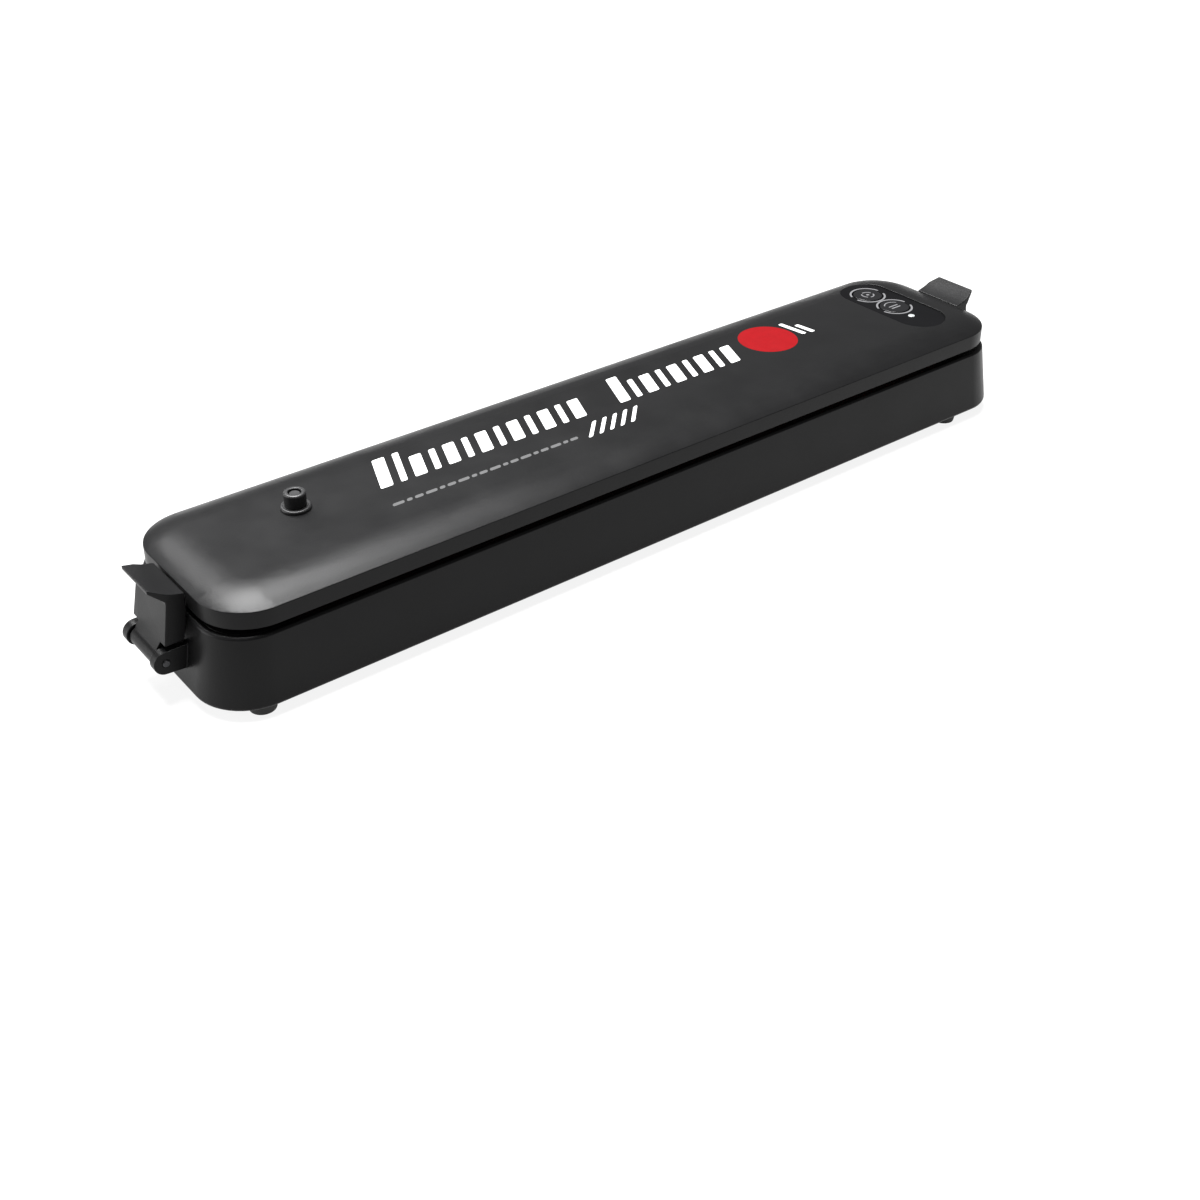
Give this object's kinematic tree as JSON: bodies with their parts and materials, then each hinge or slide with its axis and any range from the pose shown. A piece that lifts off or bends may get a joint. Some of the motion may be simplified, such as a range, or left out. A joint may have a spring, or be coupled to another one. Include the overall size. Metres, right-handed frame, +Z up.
{
  "type": "vacuum sealer",
  "caption": "Slim oblong countertop vacuum bag sealer with a hinged crowned lid, flip-up end latches, a round-button panel, a lid hose port and a heated sealing strip.",
  "frame": {"origin": "on the resting surface, under the middle of the body, at the feet's bottom faces", "axes": "+X along the body from the hose-port end to the panel end, -Y towards the front where the bag goes in, +Z up"},
  "size_m": [0.3872, 0.0778, 0.0481],
  "materials": {
    "housing_plastic": "satin black ABS",
    "inner_plastic": "matte black ABS",
    "screw_steel": "zinc-plated steel",
    "pin_steel": "ground steel",
    "dark_pin_steel": "blackened steel",
    "foot_rubber": "matte black rubber",
    "gasket_foam": "fine closed-cell foam",
    "strip_silicone": "red silicone",
    "bed_board": "mica board",
    "resistance_metal": "nickel-chrome strip",
    "release_fabric": "brown coated glass cloth",
    "brass": "bright brass",
    "board": "green solder mask",
    "core_steel": "varnished laminations",
    "copper_winding": "enamelled copper",
    "capacitor_sleeve": "shrink sleeve",
    "relay_case": "blue moulding",
    "terminal_plastic": "green moulding",
    "fuse_glass": "clear glass",
    "lead_sleeve": "PVC insulation",
    "hot_lead_sleeve": "white silicone insulation",
    "motor_can": "zinc-plated can",
    "crank_plastic": "white acetal",
    "tube_silicone": "translucent silicone",
    "panel_gloss": "high gloss black",
    "button_gloss": "gloss black",
    "lens_clear": "frosted acrylic",
    "switch_body": "black moulding",
    "valve_plastic": "grey-black acetal"
  },
  "bodies": {
    "base": {"base_shell": "housing_plastic", "deck_plate": "housing_plastic", "vacuum_trough": "inner_plastic", "bottom_cover": "housing_plastic", "cover_screws": "screw_steel", "foot_front_left": "foot_rubber", "foot_front_right": "foot_rubber", "foot_rear_left": "foot_rubber", "foot_rear_right": "foot_rubber", "lower_gasket": "gasket_foam", "heater_bed": "bed_board", "heating_wire": "resistance_metal", "release_tape": "release_fabric", "heater_clamps": "brass", "power_inlet": "housing_plastic", "inlet_pins": "brass", "main_board": "board", "transformer_core": "core_steel", "transformer_winding": "copper_winding", "filter_capacitor": "capacitor_sleeve", "relay": "relay_case", "terminal_block": "terminal_plastic", "mains_fuse": "fuse_glass", "inlet_leads": "lead_sleeve", "heater_leads": "hot_lead_sleeve", "pump_leads": "lead_sleeve", "base_panel_lead": "lead_sleeve", "pump_motor": "motor_can", "pump_cradle": "foot_rubber", "pump_crankcase": "inner_plastic", "pump_rod": "crank_plastic", "pump_diaphragm": "foot_rubber", "pump_cap": "inner_plastic", "pump_screws": "screw_steel", "suction_tube": "tube_silicone", "left_latch_pin": "dark_pin_steel", "right_latch_pin": "dark_pin_steel", "hinge_pins": "pin_steel"},
    "lid": {"lid_shell": "housing_plastic", "lid_inner_plate": "inner_plastic", "lid_screws": "screw_steel", "upper_gasket": "gasket_foam", "pressure_strip": "strip_silicone", "control_panel": "panel_gloss", "indicator_lens": "lens_clear", "indicator_led": "lens_clear", "control_board": "board", "tact_switches": "switch_body", "lid_panel_lead": "lead_sleeve", "port_fitting": "inner_plastic", "port_collar": "inner_plastic", "port_spring": "pin_steel"},
    "left_latch": {"left_latch": "housing_plastic"},
    "right_latch": {"right_latch": "housing_plastic"},
    "vacuum_button": {"vacuum_button": "button_gloss"},
    "seal_button": {"seal_button": "button_gloss"},
    "port_valve": {"port_valve": "valve_plastic", "port_seal": "foot_rubber"},
    "pump_rotor": {"motor_shaft": "pin_steel", "pump_crank": "crank_plastic"}
  },
  "joints": [
    {"name": "lid_hinge", "type": "hinge", "parent": "base", "child": "lid", "pos_m": [0, 0.0374, 0.03065], "axis": [-1, 0, 0], "range_deg": [0, 85]},
    {"name": "left_latch_hinge", "type": "hinge", "parent": "base", "child": "left_latch", "pos_m": [-0.1895, 0, 0.0159], "axis": [0, -1, 0], "range_deg": [0, 95]},
    {"name": "right_latch_hinge", "type": "hinge", "parent": "base", "child": "right_latch", "pos_m": [0.1895, 0, 0.0159], "axis": [0, 1, 0], "range_deg": [0, 95]},
    {"name": "vacuum_button_press", "type": "slide", "parent": "lid", "child": "vacuum_button", "axis": [0, 0, -1], "range_m": [0, 0.0006], "stiffness_N_per_m": 400, "springref_m": -0.001},
    {"name": "seal_button_press", "type": "slide", "parent": "lid", "child": "seal_button", "axis": [0, 0, -1], "range_m": [0, 0.0006], "stiffness_N_per_m": 400, "springref_m": -0.001},
    {"name": "port_valve_press", "type": "slide", "parent": "lid", "child": "port_valve", "axis": [0, 0, -1], "range_m": [0, 0.0012], "stiffness_N_per_m": 250, "springref_m": -0.001, "deforming": ["port_spring"]},
    {"name": "pump_rotor_spin", "type": "hinge", "parent": "base", "child": "pump_rotor", "pos_m": [0.06, -0.0197, 0.0162], "axis": [1, 0, 0], "continuous": true}
  ]
}
